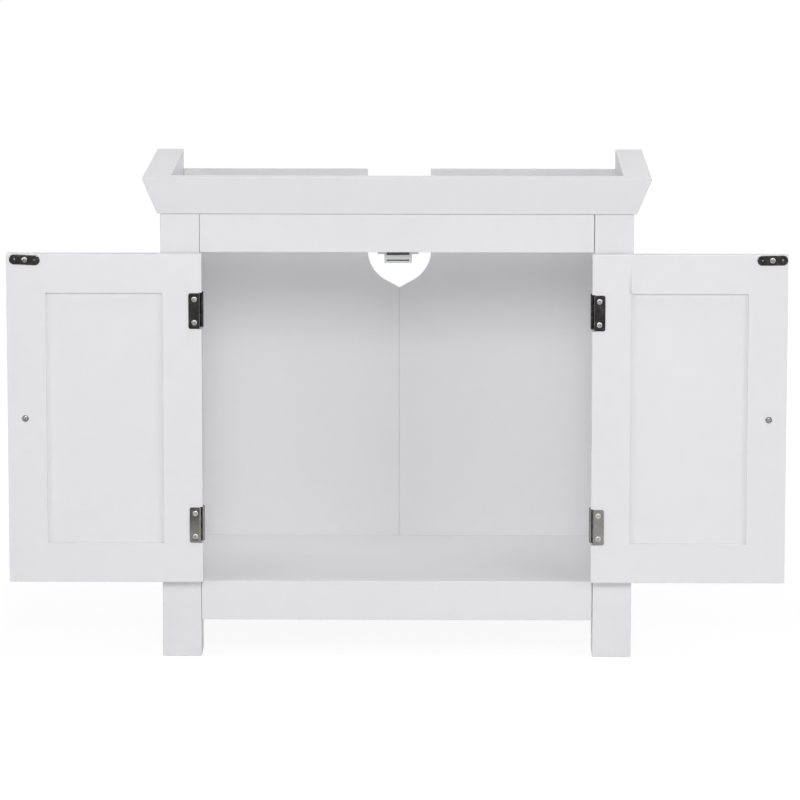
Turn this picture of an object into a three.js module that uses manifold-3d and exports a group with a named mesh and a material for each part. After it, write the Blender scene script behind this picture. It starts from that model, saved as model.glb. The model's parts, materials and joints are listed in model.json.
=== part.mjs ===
// A free-standing sink base cabinet with two framed doors, shown with both doors swung right open.
// Millimetres, +Z up. The origin is on the floor, midway across the width and the depth.
// Inside the cabinet group, x runs to the right of someone facing the doors, y runs from the front
// face of the posts towards the wall, and z is the height above the floor.
import * as THREE from "three";
import { mergeVertices } from "three/addons/utils/BufferGeometryUtils.js";
import Module from "manifold-3d";

const wasm = await Module();
wasm.setup();

// ---- Carcass ----
const HEIGHT = 600; // floor to the top of the crown
const WIDTH = 581; // over the outer faces of the posts
const DEPTH = 309; // front of the posts to the back of the back panels
const FRONT_POST = 48; // square section
const REAR_POST = 36; // square section
const LEG_CLEARANCE = 46.5; // floor to the underside of the rails
const RAIL_THICKNESS = 34;
const BOTTOM_RAIL_HEIGHT = 49.2;
const TOP_RAIL_HEIGHT = 47.1;
const RAIL_SEAM = { left: 0.4, right: 0.8 }; // hairline between a rail's shoulder and its post
const TENON_LENGTH = 12;
const TENON_THICKNESS = 12;
const TENON_SHOULDER = 8; // above and below a tenon
const REAR_RAIL_THICKNESS = 18;
const REAR_TENON_THICKNESS = 8;
const SIDE_THICKNESS = 12;
const SIDE_INSET = 6; // side panel's face behind the posts' outer faces
const SIDE_GROOVE = 6; // how far a side panel enters a post
const FLOOR_THICKNESS = 12;
const FLOOR_LAP = 14; // how far the floor board lies on the bottom rail
const CLEAT = 15; // square section
const BACK_THICKNESS = 6;
const BACK_RISE = 20.6; // top of the back above the underside of the crown
const FIT = 0.3; // clearance round what is let into another piece

// ---- Pipe cut-out in the back ----
const CUTOUT_HALF_WIDTH = 40.5;
const CUTOUT_TIP = 421; // height of its point
const CUTOUT_SLOPE = 29; // degrees from level, beside the point
const CUTOUT_RADIUS = 43; // from the slope to the upright sides

// ---- Crown ----
const CROWN_HEIGHT = 45.6;
const CROWN_LIP = 3.5; // its foot outside the posts
const CROWN_FLARE = 17.5; // its top outside its foot
const CROWN_TOP_WIDTH = 34;
const CROWN_SEAM = 0.6; // hairline under the crown
const MITRE_SEAM = 0.3;

// ---- Doors ----
const DOOR_THICKNESS = 16;
const DOOR_GAP_TOP = 0.4;
const DOOR_GAP_BOTTOM = 1.6;
const DOOR_GAP_HINGE = 2; // between the door's edge and the post
const DOOR_GAP_CENTRE = 2; // between the two closed doors
const DOOR_STILE = 48;
const DOOR_TOP_RAIL = 48;
const DOOR_BOTTOM_RAIL = 49;
const PANEL_THICKNESS = 6;
const PANEL_GROOVE = 8;
const OPEN_ANGLE = 180; // degrees, as built

// ---- Hinges ----
const HINGE_HEIGHT = 44.2;
const HINGE_INSET = 71; // hinge centre to the door's top or bottom edge
const HINGE_SHIFT = { left: 0.9, right: -1.2 }; // both hinges of a door above that place
const LEAF_THICKNESS = 1.2;
const DOOR_LEAF_WIDTH = 13.7;
const FRAME_LEAF_WIDTH = 14.5;
const LEAF_CORNER = 2.5;
const BEND_RADIUS = 1.5;
const BARREL_RADIUS = 2.3;
const STRAP_STEP = 0.8; // how far a door leaf's strap is set off from the side of its barrel
const PIN_RADIUS = 1.1;
const PIN_PROUD = 0.7; // pin beyond the knuckles at each end
const PIN_TO_POST = 2.5; // pin's axis to the post's inner face
const PIN_FORWARD = 1; // pin's axis in front of the posts
const KNUCKLES = 6;
const KNUCKLE_GAP = 0.3;
const NOTCH_ROOM = 0.6; // above and below a hinge in its notch
const HINGE_SCREW_END = 7.7; // screw centre to the leaf's top or bottom
const HINGE_SCREW_EDGE = 7.1; // screw centre to the leaf's free edge

// ---- Screws: head radius, head height, shank radius, length ----
const LEAF_SCREW = { head: 3.3, rise: 1.1, shank: 1.4, length: 12 };
const STRIKE_SCREW = { head: 3.3, rise: 1.1, shank: 1.4, length: 11 };
const KNOB_SCREW = { head: 3.7, rise: 2.6, shank: 2, length: 23 };
const PAN_CREST = 1.1; // a pan head's flat crest inside its rim
const PAN_SHOULDER = 1; // and its crest above its rim
const SCREW_FIT = 0.15; // radial clearance round a screw
const RECESS_WIDTH = 0.8; // of an arm of the cross recess
const RECESS_DEPTH = 0.7;
const RECESS_RIM = 1.1; // from an arm's end to the head's rim

// ---- Strike plates and catch ----
const STRIKE_LENGTH = 38;
const STRIKE_HEIGHT = 12.9;
const STRIKE_THICKNESS = 1.2;
const STRIKE_FROM_EDGE = { left: 22.8, right: 19.2 }; // plate centre to the door's free edge
const STRIKE_FROM_TOP = { left: 7.1, right: 6.5 };
const STRIKE_TILT = { left: 2.5, right: 0.6 }; // degrees, free end up
const PIP_RADIUS = 1;
const PIP_PROUD = 0.3;
const PIP_SPACING = 24.6;
const CATCH_GAP = 0.3; // pole plates to the closed strike plates
const CATCH_OFFSET = 1.1; // catch to the right of the middle
const POLE_PROUD = 0.5;
const POLE_THICKNESS = 1.6;
const POLE_LENGTH = 27.4;
const POLE_DEPTH = 13;
const MAGNET_THICKNESS = 5.9;
const CATCH_WIDTH = 33.7;
const CATCH_HEIGHT = 15.6;
const CATCH_DEPTH = 15.5;
const CATCH_FLANGE_WIDTH = 50.4;
const CATCH_FLANGE_THICKNESS = 4.5;
const CATCH_FLOOR = 2.7; // plastic under the lower pole plate
const CATCH_ROOF = 1.6; // plastic over the hollow
const CATCH_WEB = 1.5; // plastic between the pole plates, in front of the magnet
const CATCH_SCREW_HOLE = 1.8; // radius
const MAGNET_INSET = 1; // magnet's ends inside the pole plates' ends

// ---- Knobs ----
const KNOB_FROM_EDGE = 21.7; // knob centre to the door's free edge
const KNOB_LENGTH = 24;
const KNOB_RADIUS = 14;
const KNOB_NECK = 5.5;
const KNOB_WAIST = 10; // height where the neck is straight
const KNOB_RIM = 16.3; // height of the widest circle
const KNOB_UNDERCUT = 2; // how far the neck's flare starts below the rim
const KNOB_FOOT = 8;
const KNOB_FOOT_HEIGHT = 2;
const KNOB_FILLET = 1; // above the foot
const KNOB_BORE = 14;
const COUNTERBORE_RADIUS = 4.25;
const COUNTERBORE_DEPTH = 5;
const COUNTERBORE_SIDES = 32;

// ---- Fineness of curves and cutting tools ----
const ROD_SIDES = 12;
const KNOB_SIDES = 24;
const KNOB_STEPS = 4; // along each curve of the knob's profile
const CUTOUT_STEPS = 14;
const STRIKE_STEPS = 10;
const CORNER_STEPS = 3; // leaf corners and bends
const OVERRUN = 1; // how far a cutting tool passes a face that it opens

// ---- Levels and planes worked out from them ----
const halfWidth = WIDTH / 2;
const openingHalf = halfWidth - FRONT_POST;
const crownBottom = HEIGHT - CROWN_HEIGHT;
const frameTop = crownBottom - CROWN_SEAM;
const openingTop = frameTop - TOP_RAIL_HEIGHT;
const openingBottom = LEG_CLEARANCE + BOTTOM_RAIL_HEIGHT;
const floorUnderside = openingBottom - FLOOR_THICKNESS;
const backFront = DEPTH - BACK_THICKNESS;
const rearPostFront = backFront - REAR_POST;
const rearPostInner = halfWidth - REAR_POST;
const sideOuter = halfWidth - SIDE_INSET;
const sideInner = sideOuter - SIDE_THICKNESS;
const crownReach = CROWN_LIP + CROWN_FLARE; // crown's top edge outside the posts
const crownInner = halfWidth + crownReach - CROWN_TOP_WIDTH;
const backTop = crownBottom + BACK_RISE;
const doorBottom = openingBottom + DOOR_GAP_BOTTOM;
const doorTop = openingTop - DOOR_GAP_TOP;
const doorFree = DOOR_GAP_CENTRE / 2;
const doorHinged = openingHalf - DOOR_GAP_HINGE;
const grooveFront = (DOOR_THICKNESS - PANEL_THICKNESS) / 2 - FIT / 2;
const grooveBack = DOOR_THICKNESS - grooveFront;
const axisX = openingHalf - PIN_TO_POST;
const axisY = -PIN_FORWARD;
const strapInner = axisX - BARREL_RADIUS - STRAP_STEP;
const strapOuter = strapInner + LEAF_THICKNESS;
const hingeLevels = (side) => ({
  upper: doorTop - HINGE_INSET + HINGE_SHIFT[side],
  lower: doorBottom + HINGE_INSET + HINGE_SHIFT[side],
});
const screwReach = HINGE_HEIGHT / 2 - HINGE_SCREW_END;
const screwOffsets = { high: screwReach, low: -screwReach };
const leafFaceX = openingHalf - LEAF_THICKNESS;
const leafFaceY = DOOR_THICKNESS + LEAF_THICKNESS;
const doorScrewX = strapOuter - DOOR_LEAF_WIDTH + HINGE_SCREW_EDGE;
const frameScrewY = axisY + FRAME_LEAF_WIDTH - HINGE_SCREW_EDGE;
const strikeFaceY = DOOR_THICKNESS + STRIKE_THICKNESS;
const knobX = doorFree + KNOB_FROM_EDGE;
const knobZ = (doorTop + doorBottom) / 2;

// ---- Finishes ----
const finish = (color, roughness, metalness) =>
  new THREE.MeshStandardMaterial({ color, roughness, metalness });
const whitePaint = finish(0xe4e4e3, 0.42, 0);
const whiteBoard = finish(0xdededd, 0.55, 0);
const darkNickel = finish(0x4a4a4c, 0.3, 1);
const brightSteel = finish(0xb9babc, 0.28, 1);
const satinNickel = finish(0x9b9a96, 0.32, 1);
const palePlastic = finish(0xd6d7d8, 0.45, 0);
const ferrite = finish(0x38383a, 0.7, 0);

// ---- Making and cutting solids ----
const GRID = 1e4; // coordinates keep four decimals, so that faces that meet share their numbers
const snap = (value) => Math.round(value * GRID) / GRID;
const UP = new THREE.Vector3(0, 0, 1);
const INWARD = new THREE.Vector3(-1, 0, 0); // out of a post's inner face, towards the opening
const BACKWARD = new THREE.Vector3(0, 1, 0); // out of a closed door's inner face
const FORWARD = new THREE.Vector3(0, -1, 0); // out of a closed door's outer face

function solidOf(geometry) {
  const bare = new THREE.BufferGeometry();
  bare.setAttribute("position", geometry.getAttribute("position"));
  bare.setIndex(geometry.getIndex());
  const merged = mergeVertices(bare, 1e-3);
  const vertProperties = Float32Array.from(merged.getAttribute("position").array, snap);
  const triVerts = Uint32Array.from(merged.getIndex().array);
  return new wasm.Manifold(new wasm.Mesh({ numProp: 3, vertProperties, triVerts }));
}

function geometryOf(solid) {
  const { numProp, vertProperties, triVerts } = solid.getMesh();
  const geometry = new THREE.BufferGeometry();
  geometry.setAttribute("position", new THREE.BufferAttribute(vertProperties, numProp));
  geometry.setIndex(new THREE.BufferAttribute(triVerts, 1));
  geometry.computeVertexNormals();
  return geometry;
}

const centred = (middle, size) => [middle - size / 2, middle + size / 2];
const cut = (solid, tools) => tools.reduce((rest, tool) => rest.subtract(tool), solid);
const join = (solid, others) => others.reduce((whole, other) => whole.add(other), solid);

// A box between two values on each axis.
function box([x0, x1], [y0, y1], [z0, z1]) {
  const geometry = new THREE.BoxGeometry(x1 - x0, y1 - y0, z1 - z0);
  geometry.translate((x0 + x1) / 2, (y0 + y1) / 2, (z0 + z1) / 2);
  return solidOf(geometry);
}

// An outline extruded along an axis from one value to another. The outline is drawn in (x, y) for
// axis z, in (y, z) for axis x, and in (x, z) for axis y.
function prism(shape, axis, from, to, curveSegments = CORNER_STEPS) {
  const settings = { depth: to - from, bevelEnabled: false, curveSegments };
  const geometry = new THREE.ExtrudeGeometry(shape, settings);
  geometry.translate(0, 0, axis === "y" ? -to : from);
  if (axis === "x") geometry.rotateX(Math.PI / 2).rotateZ(Math.PI / 2);
  if (axis === "y") geometry.rotateX(Math.PI / 2);
  return solidOf(geometry);
}

const outline = (points) => new THREE.Shape(points.map(([x, y]) => new THREE.Vector2(x, y)));

// Rectangles whose two corners at one end of the first direction are rounded.
function roundedStart([u0, u1], [v0, v1], radius) {
  const shape = new THREE.Shape();
  shape.moveTo(u1, v0);
  shape.lineTo(u1, v1);
  shape.absarc(u0 + radius, v1 - radius, radius, Math.PI / 2, Math.PI, false);
  shape.absarc(u0 + radius, v0 + radius, radius, Math.PI, 1.5 * Math.PI, false);
  return shape;
}

function roundedEnd([u0, u1], [v0, v1], radius) {
  const shape = new THREE.Shape();
  shape.moveTo(u0, v1);
  shape.lineTo(u0, v0);
  shape.absarc(u1 - radius, v0 + radius, radius, 1.5 * Math.PI, 2 * Math.PI, false);
  shape.absarc(u1 - radius, v1 - radius, radius, 0, Math.PI / 2, false);
  return shape;
}

// A profile of [radius, height] points turned about +z.
function turned(profile, segments = ROD_SIDES) {
  const points = profile.map(([radius, height]) => new THREE.Vector2(radius, height));
  return new THREE.LatheGeometry(points, segments).rotateX(Math.PI / 2);
}

// A turned shape with its axis along a direction, from a point.
function aimed(geometry, direction, [x, y, z]) {
  const turn = new THREE.Quaternion().setFromUnitVectors(UP, direction);
  return solidOf(geometry.clone().applyQuaternion(turn).translate(x, y, z));
}

const rod = (radius, from, to, sides) =>
  turned([[0, from], [radius, from], [radius, to], [0, to]], sides);

// ---- Screws, with the top of a countersunk head at height 0 ----
function crossRecess(radius, top) {
  const width = centred(0, RECESS_WIDTH);
  const length = centred(0, 2 * (radius - RECESS_RIM));
  const depth = [top - RECESS_DEPTH, top + OVERRUN];
  return [box(length, width, depth), box(width, length, depth)];
}

function countersunkScrew({ head, rise, shank, length }) {
  const tip = 2 * shank;
  const profile = [[0, -length], [shank, tip - length], [shank, -rise], [head, 0], [0, 0]];
  return cut(solidOf(turned(profile)), crossRecess(head, 0));
}

// The hole for a countersunk screw, from its surface down.
function screwHole({ head, rise, shank, length }) {
  const wide = shank + SCREW_FIT;
  const mouth = head + SCREW_FIT;
  const end = -length - SCREW_FIT;
  const top = OVERRUN;
  return turned([[0, end], [wide, end], [wide, -rise], [mouth, 0], [mouth, top], [0, top]]);
}

// The head's underside is at height 0.
function panHeadScrew({ head, rise, shank, length }) {
  const shaft = [[0, -length], [shank, -length], [shank, 0]];
  const dome = [[head, 0], [head, rise - PAN_SHOULDER], [head - PAN_CREST, rise], [0, rise]];
  return cut(solidOf(turned([...shaft, ...dome])), crossRecess(head, rise));
}

// ---- Scene graph ----
const part = new THREE.Group();
const cabinet = new THREE.Group();
cabinet.position.y = (crownReach - DEPTH) / 2;
part.add(cabinet);

// What is made once for the right hand is mirrored for the left.
const sides = { right: new THREE.Group(), left: new THREE.Group() };
sides.left.scale.x = -1;
cabinet.add(sides.right, sides.left);

function piece(group, name, solid, material) {
  const mesh = new THREE.Mesh(geometryOf(solid), material.clone());
  mesh.name = name;
  group.add(mesh);
  return mesh;
}

// ---- Posts ----
function mortise(inner, [y0, y1], [z0, z1]) {
  const x = [inner - OVERRUN, inner + TENON_LENGTH + FIT];
  return box(x, [y0 - FIT, y1 + FIT], [z0 - FIT, z1 + FIT]);
}

function sideGroove(y0, y1) {
  const z = [LEG_CLEARANCE - FIT, frameTop + OVERRUN];
  return box([sideInner - FIT, sideOuter + FIT], [y0, y1], z);
}

const frontTenonY = centred(RAIL_THICKNESS / 2, TENON_THICKNESS);
const rearTenonY = centred(backFront - REAR_RAIL_THICKNESS / 2, REAR_TENON_THICKNESS);
const bottomTenonZ = [LEG_CLEARANCE + TENON_SHOULDER, floorUnderside - TENON_SHOULDER];
const topTenonZ = [openingTop + TENON_SHOULDER, frameTop - TENON_SHOULDER];

function frontPost(side) {
  const blank = box([openingHalf, halfWidth], [0, FRONT_POST], [0, frameTop]);
  const tools = [
    mortise(openingHalf, frontTenonY, topTenonZ),
    mortise(openingHalf, frontTenonY, bottomTenonZ),
    sideGroove(FRONT_POST - SIDE_GROOVE, FRONT_POST + OVERRUN),
  ];
  for (const level of Object.values(hingeLevels(side)))
    for (const offset of Object.values(screwOffsets))
      tools.push(aimed(screwHole(LEAF_SCREW), INWARD, [leafFaceX, frameScrewY, level + offset]));
  return cut(blank, tools);
}

function rearPost() {
  const blank = box([rearPostInner, halfWidth], [rearPostFront, backFront], [0, frameTop]);
  return cut(blank, [
    mortise(rearPostInner, rearTenonY, bottomTenonZ),
    sideGroove(rearPostFront - OVERRUN, rearPostFront + SIDE_GROOVE),
  ]);
}

// ---- Rails, floor, sides and back ----
function tenoned(half, yRange, zRange, tenonY, tenonHeights) {
  const shoulders = [RAIL_SEAM.left - half, half - RAIL_SEAM.right];
  const reach = half + TENON_LENGTH;
  return join(box(shoulders, yRange, zRange), [box([-reach, reach], tenonY, tenonHeights)]);
}

function bottomRail() {
  const height = [LEG_CLEARANCE, openingBottom];
  const rail = tenoned(openingHalf, [0, RAIL_THICKNESS], height, frontTenonY, bottomTenonZ);
  const rebateY = [RAIL_THICKNESS - FLOOR_LAP, RAIL_THICKNESS + OVERRUN];
  return cut(rail, [box([-openingHalf, openingHalf], rebateY, [floorUnderside, HEIGHT])]);
}

function floorBoard() {
  const front = RAIL_THICKNESS - FLOOR_LAP + FIT;
  const half = [
    [openingHalf - FIT, front],
    [openingHalf - FIT, FRONT_POST + FIT],
    [sideInner - FIT, FRONT_POST + FIT],
    [sideInner - FIT, rearPostFront - FIT],
    [rearPostInner - FIT, rearPostFront - FIT],
    [rearPostInner - FIT, backFront - FIT],
  ];
  const mirrored = half.map(([x, y]) => [-x, y]).reverse();
  return prism(outline([...half, ...mirrored]), "z", floorUnderside, openingBottom);
}

function sidePanel() {
  const reach = SIDE_GROOVE - FIT;
  const y = [FRONT_POST - reach, rearPostFront + reach];
  return box([sideInner, sideOuter], y, [LEG_CLEARANCE, frameTop]);
}

function floorCleat() {
  const y = [FRONT_POST + FIT, rearPostFront - FIT];
  return box([sideInner - CLEAT, sideInner], y, [floorUnderside - CLEAT, floorUnderside]);
}

// Half of the back: the cut-out's edge rises from its point at a slope, and turns up along an arc.
function backPanel() {
  const slope = THREE.MathUtils.degToRad(CUTOUT_SLOPE);
  const centreX = CUTOUT_HALF_WIDTH - CUTOUT_RADIUS;
  const tangentX = centreX + CUTOUT_RADIUS * Math.sin(slope);
  const centreZ = CUTOUT_TIP + tangentX * Math.tan(slope) + CUTOUT_RADIUS * Math.cos(slope);
  const outer = crownInner - FIT;
  const shape = new THREE.Shape();
  shape.moveTo(0, LEG_CLEARANCE);
  shape.lineTo(outer, LEG_CLEARANCE);
  shape.lineTo(outer, backTop);
  shape.lineTo(CUTOUT_HALF_WIDTH, backTop);
  shape.absarc(centreX, centreZ, CUTOUT_RADIUS, 0, slope - Math.PI / 2, true);
  shape.lineTo(0, CUTOUT_TIP);
  return prism(shape, "y", backFront, DEPTH, CUTOUT_STEPS);
}

// ---- Crown ----
const crownProfile = [
  [-CROWN_LIP, crownBottom],
  [CROWN_TOP_WIDTH - crownReach, crownBottom],
  [CROWN_TOP_WIDTH - crownReach, HEIGHT],
  [-crownReach, HEIGHT],
];

// The two mitres run at 45 degrees through the posts' outer front corners.
function crownFront() {
  const reach = halfWidth + crownReach;
  const length = prism(outline(crownProfile), "x", -reach, reach);
  const back = halfWidth - MITRE_SEAM;
  const [front, rear] = [-crownReach - OVERRUN, CROWN_TOP_WIDTH];
  const plan = [[front - back, front], [back - front, front], [back - rear, rear], [rear - back, rear]];
  return length.intersect(prism(outline(plan), "z", 0, HEIGHT + OVERRUN));
}

function crownSide() {
  const profile = crownProfile.map(([y, z]) => [halfWidth - y, z]);
  const length = prism(outline(profile), "y", -crownReach - OVERRUN, DEPTH);
  const reach = halfWidth + crownReach;
  const [outer, rear] = [halfWidth + reach, DEPTH + OVERRUN];
  const plan = [[outer, -reach], [outer, rear], [halfWidth - rear, rear]];
  return length.intersect(prism(outline(plan), "z", 0, HEIGHT + OVERRUN));
}

// ---- Catch under the top rail ----
function buildCatch() {
  const front = DOOR_THICKNESS + STRIKE_THICKNESS + CATCH_GAP + POLE_PROUD;
  const bottom = openingTop - CATCH_HEIGHT;
  const depth = [front, front + CATCH_DEPTH];
  const body = box(centred(CATCH_OFFSET, CATCH_WIDTH), depth, [bottom, openingTop]);
  const flangeBottom = openingTop - CATCH_FLANGE_THICKNESS;
  const flange = box(centred(CATCH_OFFSET, CATCH_FLANGE_WIDTH), depth, [flangeBottom, openingTop]);
  const stackBottom = bottom + CATCH_FLOOR;
  const magnetBottom = stackBottom + POLE_THICKNESS;
  const magnetTop = magnetBottom + MAGNET_THICKNESS;
  const stackTop = magnetTop + POLE_THICKNESS;
  const poleDepth = [front - POLE_PROUD, front - POLE_PROUD + POLE_DEPTH];
  const hollowWidth = centred(CATCH_OFFSET, POLE_LENGTH + 2 * FIT);
  const webBack = front + CATCH_WEB;
  const hollowTop = openingTop - CATCH_ROOF;
  const hollow = box(hollowWidth, [webBack, poleDepth[1] + FIT], [stackBottom, hollowTop]);
  const slotDepth = [front - OVERRUN, webBack];
  const lowerSlot = box(hollowWidth, slotDepth, [stackBottom, magnetBottom + FIT]);
  const upperSlot = box(hollowWidth, slotDepth, [magnetTop - FIT, hollowTop]);
  const screwX = (CATCH_WIDTH + CATCH_FLANGE_WIDTH) / 4;
  const holeBottom = flangeBottom - OVERRUN;
  const screwHoles = [CATCH_OFFSET + screwX, CATCH_OFFSET - screwX].map((x) =>
    aimed(rod(CATCH_SCREW_HOLE, 0, CATCH_HEIGHT), UP, [x, front + CATCH_DEPTH / 2, holeBottom]),
  );
  const poleWidth = centred(CATCH_OFFSET, POLE_LENGTH);
  const lowerPole = box(poleWidth, poleDepth, [stackBottom, magnetBottom]);
  const upperPole = box(poleWidth, poleDepth, [magnetTop, stackTop]);
  const magnetWidth = centred(CATCH_OFFSET, POLE_LENGTH - 2 * MAGNET_INSET);
  const magnet = box(magnetWidth, [webBack + FIT, poleDepth[1]], [magnetBottom, magnetTop]);
  const housing = cut(join(body, [flange]), [hollow, lowerSlot, upperSlot, ...screwHoles]);
  piece(cabinet, "catch_housing", housing, palePlastic);
  piece(cabinet, "catch_pole_lower", lowerPole, darkNickel);
  piece(cabinet, "catch_pole_upper", upperPole, darkNickel);
  piece(cabinet, "catch_magnet", magnet, ferrite);
}

// ---- Hinges, with the door closed ----
const knucklePitch = HINGE_HEIGHT / KNUCKLES;

function knuckleSpans(level, owner) {
  const spans = [];
  for (let index = owner; index < KNUCKLES; index += 2) {
    const bottom = level - HINGE_HEIGHT / 2 + index * knucklePitch;
    spans.push([bottom + KNUCKLE_GAP / 2, bottom + knucklePitch - KNUCKLE_GAP / 2]);
  }
  return spans;
}

// A leaf with its own knuckles, cleared round the other leaf's knuckles and bored for the pin.
function withKnuckles(leaf, level, owner) {
  const onAxis = (radius, z0, z1) => aimed(rod(radius, z0, z1), UP, [axisX, axisY, 0]);
  const own = knuckleSpans(level, owner).map(([z0, z1]) => onAxis(BARREL_RADIUS, z0, z1));
  const room = BARREL_RADIUS + KNUCKLE_GAP;
  const others = knuckleSpans(level, 1 - owner).map(([z0, z1]) =>
    onAxis(room, z0 - KNUCKLE_GAP, z1 + KNUCKLE_GAP),
  );
  const bore = onAxis(PIN_RADIUS + SCREW_FIT, level - HINGE_HEIGHT, level + HINGE_HEIGHT);
  return cut(join(cut(leaf, others), own), [bore]);
}

// The door leaf lies on the door's inner face and wraps round its edge to the barrel in front.
function doorLeaf(level) {
  const z = centred(level, HINGE_HEIGHT);
  const end = strapOuter - DOOR_LEAF_WIDTH;
  const bendX = strapOuter - BEND_RADIUS;
  const shape = new THREE.Shape();
  shape.moveTo(strapInner, axisY);
  shape.lineTo(strapInner, DOOR_THICKNESS);
  shape.lineTo(end, DOOR_THICKNESS);
  shape.lineTo(end, leafFaceY);
  shape.lineTo(bendX, leafFaceY);
  shape.absarc(bendX, leafFaceY - BEND_RADIUS, BEND_RADIUS, Math.PI / 2, 0, true);
  shape.lineTo(strapOuter, axisY);
  const face = roundedStart([end, strapOuter + OVERRUN], z, LEAF_CORNER);
  const rounded = prism(face, "y", axisY - OVERRUN, leafFaceY + OVERRUN);
  const bent = prism(shape, "z", ...z).intersect(rounded);
  const holes = Object.values(screwOffsets).map((offset) =>
    aimed(screwHole(LEAF_SCREW), BACKWARD, [doorScrewX, leafFaceY, level + offset]),
  );
  return cut(withKnuckles(bent, level, 0), holes);
}

// The frame leaf lies on the post's inner face, with its two screws driven home.
function frameLeaf(level) {
  const z = centred(level, HINGE_HEIGHT);
  const face = roundedEnd([axisY, axisY + FRAME_LEAF_WIDTH], z, LEAF_CORNER);
  const leaf = withKnuckles(prism(face, "x", leafFaceX, openingHalf), level, 1);
  const screws = Object.values(screwOffsets).map((offset) =>
    aimed(geometryOf(countersunkScrew(LEAF_SCREW)), INWARD, [leafFaceX, frameScrewY, level + offset]),
  );
  return join(leaf, screws);
}

function hingePin(level) {
  const reach = HINGE_HEIGHT / 2 + PIN_PROUD;
  const tip = PIN_RADIUS / 2;
  const lower = [[0, -reach], [tip, -reach], [PIN_RADIUS, tip - reach]];
  const upper = [[PIN_RADIUS, reach - tip], [tip, reach], [0, reach]];
  return aimed(turned([...lower, ...upper]), UP, [axisX, axisY, level]);
}

// ---- Door pieces, closed ----
const panelLow = doorBottom + DOOR_BOTTOM_RAIL;
const panelHigh = doorTop - DOOR_TOP_RAIL;
const panelLeft = doorFree + DOOR_STILE;
const panelRight = doorHinged - DOOR_STILE;
const panelY = centred(DOOR_THICKNESS / 2, PANEL_THICKNESS);
const doorY = [0, DOOR_THICKNESS];

const strikeX = (side) => doorFree + STRIKE_FROM_EDGE[side];
const strikeZ = (side) => doorTop - STRIKE_FROM_TOP[side];

function freeStile(side) {
  const blank = box([doorFree, panelLeft], doorY, [doorBottom, doorTop]);
  const grooveX = [panelLeft - PANEL_GROOVE, panelLeft + OVERRUN];
  const groove = box(grooveX, [grooveFront, grooveBack], [0, HEIGHT]);
  const strikePlace = [strikeX(side), strikeFaceY, strikeZ(side)];
  const strikeHole = aimed(screwHole(STRIKE_SCREW), BACKWARD, strikePlace);
  const through = rod(KNOB_SCREW.shank + FIT, -OVERRUN, DOOR_THICKNESS + OVERRUN);
  const sunkFrom = DOOR_THICKNESS - COUNTERBORE_DEPTH;
  const sunk = rod(COUNTERBORE_RADIUS, sunkFrom, DOOR_THICKNESS + OVERRUN, COUNTERBORE_SIDES);
  const knobHoles = [through, sunk].map((hole) => aimed(hole, BACKWARD, [knobX, 0, knobZ]));
  return cut(blank, [groove, strikeHole, ...knobHoles]);
}

function hingeStile(side) {
  const blank = box([panelRight, doorHinged], doorY, [doorBottom, doorTop]);
  const grooveX = [panelRight - OVERRUN, panelRight + PANEL_GROOVE];
  const tools = [box(grooveX, [grooveFront, grooveBack], [0, HEIGHT])];
  const notchY = [-OVERRUN, DOOR_THICKNESS + OVERRUN];
  for (const level of Object.values(hingeLevels(side))) {
    const room = centred(level, HINGE_HEIGHT + 2 * NOTCH_ROOM);
    tools.push(box([strapInner - FIT, doorHinged + OVERRUN], notchY, room));
    for (const offset of Object.values(screwOffsets))
      tools.push(aimed(screwHole(LEAF_SCREW), BACKWARD, [doorScrewX, leafFaceY, level + offset]));
  }
  return cut(blank, tools);
}

// A rail between the stiles, grooved along its inner edge, with a tongue at each end.
function doorRail([z0, z1], inner) {
  const tongue = PANEL_GROOVE - FIT;
  const rail = box([panelLeft, panelRight], doorY, [z0, z1]);
  const tongueZ = inner === z1 ? [z0, z1 - PANEL_GROOVE] : [z0 + PANEL_GROOVE, z1];
  const tongues = box([panelLeft - tongue, panelRight + tongue], panelY, tongueZ);
  const grooveZ = inner === z1 ? [z1 - PANEL_GROOVE, z1 + OVERRUN] : [z0 - OVERRUN, z0 + PANEL_GROOVE];
  const groove = box([panelLeft, panelRight], [grooveFront, grooveBack], grooveZ);
  return join(cut(rail, [groove]), [tongues]);
}

function doorPanel() {
  const reach = PANEL_GROOVE - FIT;
  return box([panelLeft - reach, panelRight + reach], panelY, [panelLow - reach, panelHigh + reach]);
}

// The knob's axis is at height 0 on the door's outer face.
function knob() {
  const profile = new THREE.Path();
  profile.moveTo(0, 0);
  profile.lineTo(KNOB_FOOT, 0);
  profile.lineTo(KNOB_FOOT, KNOB_FOOT_HEIGHT);
  profile.quadraticCurveTo(KNOB_NECK, KNOB_FOOT_HEIGHT + KNOB_FILLET, KNOB_NECK, KNOB_WAIST);
  profile.quadraticCurveTo(KNOB_NECK, KNOB_RIM - KNOB_UNDERCUT, KNOB_RADIUS, KNOB_RIM);
  profile.quadraticCurveTo(KNOB_RADIUS, KNOB_LENGTH, 0, KNOB_LENGTH);
  const points = profile.getPoints(KNOB_STEPS).map(({ x, y }) => [x, y]);
  const bore = solidOf(rod(KNOB_SCREW.shank + FIT, -OVERRUN, KNOB_BORE));
  return cut(solidOf(turned(points, KNOB_SIDES)), [bore]);
}

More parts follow.
